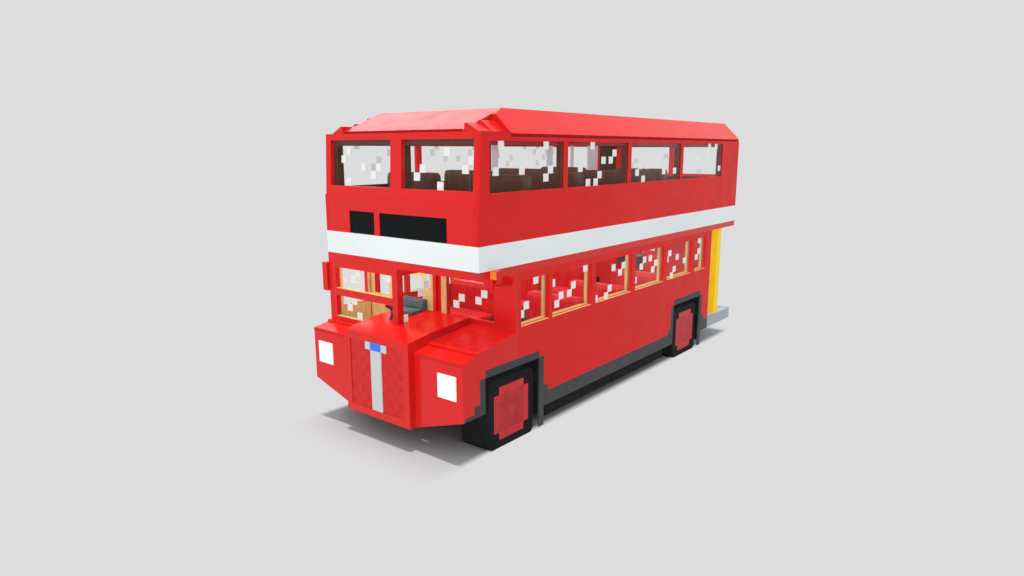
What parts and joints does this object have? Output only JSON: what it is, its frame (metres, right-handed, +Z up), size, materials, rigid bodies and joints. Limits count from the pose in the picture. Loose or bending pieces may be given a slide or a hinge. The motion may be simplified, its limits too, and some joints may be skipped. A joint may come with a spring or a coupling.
{
  "type": "half-cab double decker bus",
  "caption": "Square-edged double decker bus with a half cab, long bonnet, open rear platform, hipped roof, pale waist band and square wheels.",
  "frame": {"origin": "on the ground, in the middle of the overall box along and across", "axes": "+Z up, front of the bus towards -Y, its nearside towards +X"},
  "size_m": [3, 8.2, 4.2],
  "materials": {
    "red_paint": "gloss",
    "white_paint": "gloss",
    "grey_paint": "satin",
    "black_paint": "satin",
    "yellow_paint": "gloss",
    "hub_red": "gloss",
    "chassis_steel": "matte",
    "engine_iron": "matte",
    "tyre": "matte",
    "glass": "clear",
    "lamp": "gloss",
    "amber": "gloss",
    "radiator_bar": "gloss",
    "platform_grey": "satin",
    "floor_brown": "satin",
    "seat_red": "satin",
    "seat_brown": "satin",
    "seat_grey": "satin"
  },
  "bodies": {
    "bus_body": {"bonnet_cowl": "red_paint", "bulkhead": "red_paint", "cab_floor": "floor_brown", "cab_frame": "red_paint", "chassis_frame": "chassis_steel", "destination_boxes": "black_paint", "driver_seat": "seat_grey", "engine_block": "engine_iron", "front_axle": "chassis_steel", "headlamps": "lamp", "indicator": "amber", "lower_floor": "floor_brown", "lower_glass": "glass", "lower_rear": "red_paint", "lower_seats": "seat_red", "lower_side_nearside": "red_paint", "lower_side_offside": "red_paint", "offside_mirror": "red_paint", "platform": "platform_grey", "platform_pole": "yellow_paint", "radiator_bar": "radiator_bar", "radiator_grille": "red_paint", "radiator_shell": "red_paint", "rear_axle": "chassis_steel", "rear_partition": "red_paint", "roof": "red_paint", "skirt_nearside": "grey_paint", "skirt_offside": "grey_paint", "staircase": "floor_brown", "steering_wheel": "black_paint", "upper_floor": "red_paint", "upper_front": "red_paint", "upper_glass": "glass", "upper_rear": "red_paint", "upper_seats": "seat_brown", "upper_side_nearside": "red_paint", "upper_side_offside": "red_paint", "waist_band": "white_paint", "wheel_housings": "black_paint", "wing_nearside": "red_paint", "wing_offside": "red_paint"},
    "knuckle_nearside": {"knuckle_nearside": "chassis_steel"},
    "knuckle_offside": {"knuckle_offside": "chassis_steel"},
    "wheel_front_nearside": {"tyre_front_nearside": "tyre", "hub_front_nearside": "hub_red"},
    "wheel_front_offside": {"tyre_front_offside": "tyre", "hub_front_offside": "hub_red"},
    "wheel_rear_nearside": {"tyre_rear_nearside": "tyre", "hub_rear_nearside": "hub_red"},
    "wheel_rear_offside": {"tyre_rear_offside": "tyre", "hub_rear_offside": "hub_red"},
    "bonnet_lid": {"bonnet_lid": "red_paint"},
    "cab_door": {"cab_door": "red_paint", "cab_door_glass": "glass"},
    "emergency_window": {"emergency_window": "red_paint", "emergency_window_glass": "glass"}
  },
  "joints": [
    {"name": "steer_nearside", "type": "hinge", "parent": "bus_body", "child": "knuckle_nearside", "pos_m": [1.1, -3.05, 0.45], "axis": [0, 0, 1], "range_deg": [-25, 25]},
    {"name": "wheel_front_nearside_spin", "type": "hinge", "parent": "knuckle_nearside", "child": "wheel_front_nearside", "pos_m": [1.135, -3.05, 0.45], "axis": [1, 0, 0], "continuous": true},
    {"name": "wheel_rear_nearside_spin", "type": "hinge", "parent": "bus_body", "child": "wheel_rear_nearside", "pos_m": [1.135, 2.05, 0.45], "axis": [1, 0, 0], "continuous": true},
    {"name": "steer_offside", "type": "hinge", "parent": "bus_body", "child": "knuckle_offside", "pos_m": [-1.1, -3.05, 0.45], "axis": [0, 0, 1], "range_deg": [-25, 25]},
    {"name": "wheel_front_offside_spin", "type": "hinge", "parent": "knuckle_offside", "child": "wheel_front_offside", "pos_m": [-1.135, -3.05, 0.45], "axis": [1, 0, 0], "continuous": true},
    {"name": "wheel_rear_offside_spin", "type": "hinge", "parent": "bus_body", "child": "wheel_rear_offside", "pos_m": [-1.135, 2.05, 0.45], "axis": [1, 0, 0], "continuous": true},
    {"name": "bonnet_lid_hinge", "type": "hinge", "parent": "bus_body", "child": "bonnet_lid", "pos_m": [0.13, -3.735, 1.45542], "axis": [0, -0.9965, -0.083], "range_deg": [0, 75]},
    {"name": "cab_door_hinge", "type": "hinge", "parent": "bus_body", "child": "cab_door", "pos_m": [-1.4, -3.025, 1.6], "axis": [0, 0, -1], "range_deg": [0, 75]},
    {"name": "emergency_window_hinge", "type": "hinge", "parent": "bus_body", "child": "emergency_window", "pos_m": [0, 4.1, 3.795], "axis": [1, 0, 0], "range_deg": [0, 80]}
  ],
  "couplings": [
    {"joint": "steer_offside", "follows": "steer_nearside", "ratio": 1}
  ]
}
